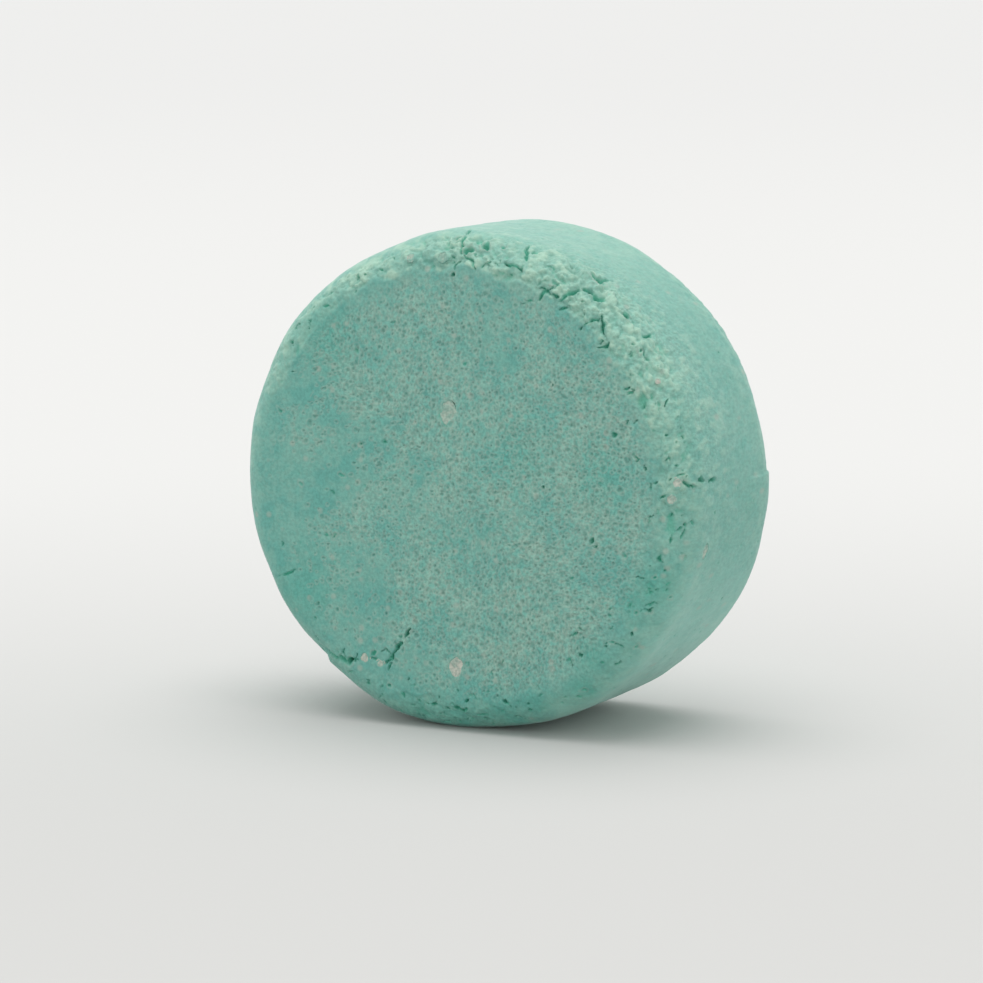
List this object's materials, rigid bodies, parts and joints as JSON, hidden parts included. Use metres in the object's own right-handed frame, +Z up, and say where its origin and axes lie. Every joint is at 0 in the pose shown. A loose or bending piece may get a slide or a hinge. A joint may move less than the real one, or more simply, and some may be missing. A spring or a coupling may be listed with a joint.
{
  "type": "shaving soap puck",
  "caption": "Round pressed shaving soap puck with rounded, crumbling edges, standing on a small flat on its rim, with pale granules set in its surface.",
  "frame": {"origin": "middle of the small flat on the rim that the puck stands on, halfway between its two faces", "axes": "+Z up, square to the flat on the rim; +Y along the puck's axis, from the front face to the rear face; +X to the right as seen from the front"},
  "size_m": [0.0702, 0.031, 0.0695],
  "materials": {
    "soap": "matte mint green pressed soap, mottled and finely pitted",
    "powder": "matte pale lumps of undispersed powder, greenish to pinkish white"
  },
  "bodies": {
    "root": {"soap_body": "soap", "granule_face_upper": "powder", "granule_face_lower": "powder", "granule_crack_large": "powder", "granule_crack_small": "powder", "granule_edge_right_high": "powder", "granule_edge_right_low": "powder", "granule_shoulder_right": "powder", "granule_rim_right": "powder", "granule_edge_top_left": "powder", "granule_edge_top": "powder", "granule_rear_high": "powder", "granule_rear_left": "powder", "granule_rear_low": "powder", "granule_rim_left": "powder", "granule_rim_low_left": "powder"}
  },
  "joints": []
}
